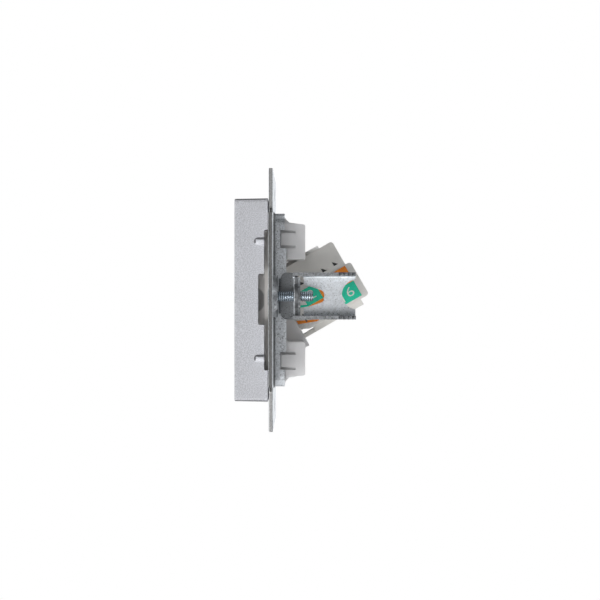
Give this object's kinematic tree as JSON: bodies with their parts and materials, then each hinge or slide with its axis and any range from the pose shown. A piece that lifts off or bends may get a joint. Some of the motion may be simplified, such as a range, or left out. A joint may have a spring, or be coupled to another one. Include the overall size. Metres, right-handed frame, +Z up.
{
  "type": "ethernet wall socket",
  "caption": "Flush data wall socket: square cover with an angled plug port, steel mounting yoke, and spreading claws drawn by screws to grip a round wall box.",
  "frame": {"origin": "centre of the yoke's wall face, midway between the two box-screw holes", "axes": "-Y into the room, +Y into the wall box, +Z up, +X to the right as seen from the room"},
  "size_m": [0.071, 0.0368, 0.071],
  "materials": {
    "silver_paint": "metallic silver paint, satin",
    "zinc_steel": "bright zinc plating",
    "screw_steel": "bright zinc plating",
    "white_plastic": "moulded, satin",
    "jack_plastic": "moulded, satin",
    "comb_plastic": "moulded",
    "contact_gold": "gold plated",
    "board": "solder mask",
    "tinned_bronze": "tin plated",
    "label_print": "printed film"
  },
  "bodies": {
    "socket": {"cover_plate": "silver_paint", "mounting_yoke": "zinc_steel", "jack_carrier": "white_plastic", "jack_housing": "jack_plastic", "wiring_cap": "jack_plastic", "contact_block": "comb_plastic", "terminal_block_right": "comb_plastic", "terminal_block_left": "comb_plastic", "contact_wire_1": "contact_gold", "contact_wire_2": "contact_gold", "contact_wire_3": "contact_gold", "contact_wire_4": "contact_gold", "contact_wire_5": "contact_gold", "contact_wire_6": "contact_gold", "contact_wire_7": "contact_gold", "contact_wire_8": "contact_gold", "circuit_board": "board", "idc_blades_right": "tinned_bronze", "idc_blades_left": "tinned_bronze", "wiring_label_right": "label_print", "wiring_label_left": "label_print"},
    "claw_right": {"claw_right": "zinc_steel"},
    "claw_left": {"claw_left": "zinc_steel"},
    "claw_screw_right": {"claw_screw_right": "screw_steel"},
    "claw_screw_left": {"claw_screw_left": "screw_steel"}
  },
  "joints": [
    {"name": "claw_swing_right", "type": "hinge", "parent": "socket", "child": "claw_right", "pos_m": [0.0236, 0.0021, 0.0011], "axis": [0, 0, -1], "range_deg": [0, 14]},
    {"name": "screw_turn_right", "type": "hinge", "parent": "claw_right", "child": "claw_screw_right", "pos_m": [0.027, 0.005, 0.001], "axis": [0, 1, 0], "range_deg": [0, 688]},
    {"name": "claw_swing_left", "type": "hinge", "parent": "socket", "child": "claw_left", "pos_m": [-0.0236, 0.0021, 0.0011], "axis": [0, 0, 1], "range_deg": [0, 14]},
    {"name": "screw_turn_left", "type": "hinge", "parent": "claw_left", "child": "claw_screw_left", "pos_m": [-0.027, 0.005, 0.001], "axis": [0, 1, 0], "range_deg": [0, 688]}
  ],
  "couplings": [
    {"joint": "screw_turn_right", "follows": "claw_swing_right", "ratio": 49.1},
    {"joint": "screw_turn_left", "follows": "claw_swing_left", "ratio": 49.1}
  ]
}
